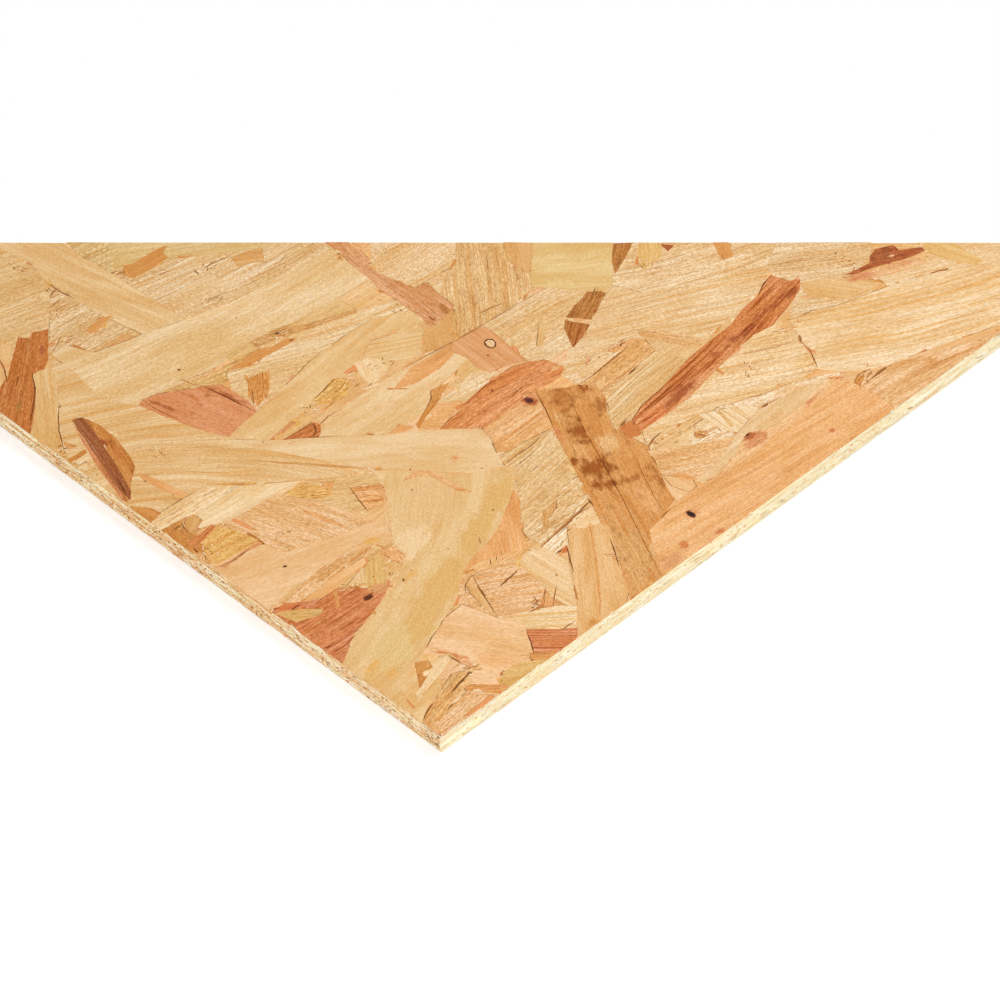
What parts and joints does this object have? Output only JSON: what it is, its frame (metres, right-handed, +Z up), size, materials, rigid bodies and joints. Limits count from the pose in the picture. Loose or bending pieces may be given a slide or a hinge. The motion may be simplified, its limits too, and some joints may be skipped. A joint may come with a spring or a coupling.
{
  "type": "osb panel",
  "caption": "Flat rectangular sheet of oriented strand board with square sawn edges, a building board for floors, walls and roofs.",
  "frame": {"origin": "middle of the underside, on the floor the sheet lies on", "axes": "+X along the sheet's length and the main direction of its face strands, +Y across its width, +Z up through its thickness"},
  "size_m": [1.22, 0.61, 0.011],
  "materials": {
    "osb": "raw pressed strands, matt with a slight resin sheen"
  },
  "bodies": {
    "root": {"osb_panel": "osb"}
  },
  "joints": []
}
